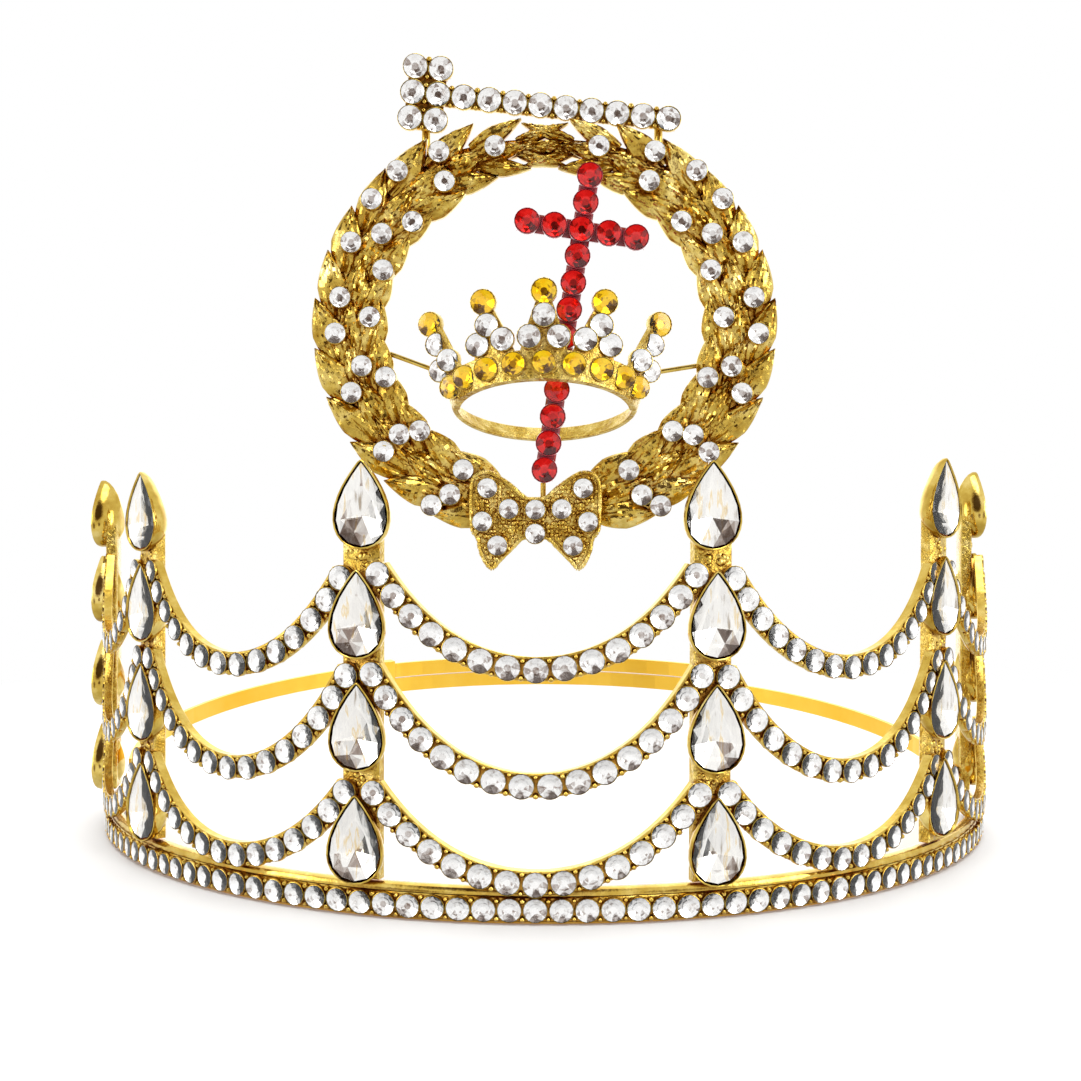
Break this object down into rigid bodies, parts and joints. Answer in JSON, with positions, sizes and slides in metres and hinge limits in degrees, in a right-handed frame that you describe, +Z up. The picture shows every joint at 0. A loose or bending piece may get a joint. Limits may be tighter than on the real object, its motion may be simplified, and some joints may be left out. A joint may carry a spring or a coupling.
{
  "type": "regalia crown",
  "caption": "Full-round gold-plated crown with a stoned base band, drop-stone pillars, stoned swags, a wreath emblem with gavel, cross and small crown, and a sliding two-strap back.",
  "frame": {"origin": "centre of the crown's bounding box at the height its base band rests on", "axes": "+Z up through the crown, -Y out of the emblem at the front, +X to the right seen from the front, so the wearer's left"},
  "size_m": [0.1902, 0.1834, 0.1384],
  "materials": {
    "gold_plate": "polished gold plate",
    "satin_gold": "satin gold plate",
    "clear_stone": "faceted, foil backed",
    "red_enamel": "glossy red lacquer"
  },
  "bodies": {
    "crown": {"base_band": "gold_plate", "pillar_front_left": "gold_plate", "pillar_front_right": "gold_plate", "pillar_side_left": "gold_plate", "pillar_side_right": "gold_plate", "pillar_rear_left": "gold_plate", "pillar_rear_right": "gold_plate", "swag_front_top": "gold_plate", "swag_front_middle": "gold_plate", "swag_front_bottom": "gold_plate", "swag_left_top": "gold_plate", "swag_left_middle": "gold_plate", "swag_left_bottom": "gold_plate", "swag_right_top": "gold_plate", "swag_right_middle": "gold_plate", "swag_right_bottom": "gold_plate", "swag_rear_left_top": "gold_plate", "swag_rear_left_middle": "gold_plate", "swag_rear_left_bottom": "gold_plate", "swag_rear_right_top": "gold_plate", "swag_rear_right_middle": "gold_plate", "swag_rear_right_bottom": "gold_plate", "wreath_left": "gold_plate", "wreath_right": "gold_plate", "bow": "gold_plate", "gavel": "gold_plate", "gavel_post_left": "gold_plate", "gavel_post_right": "gold_plate", "cross_pin": "gold_plate", "small_crown": "gold_plate", "stay_left": "gold_plate", "stay_right": "gold_plate", "strap_left": "satin_gold", "drop_front_left_1": "clear_stone", "drop_front_left_2": "clear_stone", "drop_front_left_3": "clear_stone", "drop_front_left_4": "clear_stone", "drop_front_right_1": "clear_stone", "drop_front_right_2": "clear_stone", "drop_front_right_3": "clear_stone", "drop_front_right_4": "clear_stone", "drop_side_left_1": "clear_stone", "drop_side_left_2": "clear_stone", "drop_side_left_3": "clear_stone", "drop_side_left_4": "clear_stone", "drop_side_right_1": "clear_stone", "drop_side_right_2": "clear_stone", "drop_side_right_3": "clear_stone", "drop_side_right_4": "clear_stone", "drop_rear_left_1": "clear_stone", "drop_rear_left_2": "clear_stone", "drop_rear_left_3": "clear_stone", "drop_rear_left_4": "clear_stone", "drop_rear_right_1": "clear_stone", "drop_rear_right_2": "clear_stone", "drop_rear_right_3": "clear_stone", "drop_rear_right_4": "clear_stone", "cross": "red_enamel"},
    "sliding_strap": {"strap_right": "satin_gold"}
  },
  "joints": [
    {"name": "strap_slide", "type": "hinge", "parent": "crown", "child": "sliding_strap", "pos_m": [0, 0.00324, 0.0115], "axis": [0, 0.0936, -0.9956], "range_deg": [-4, 10]}
  ]
}
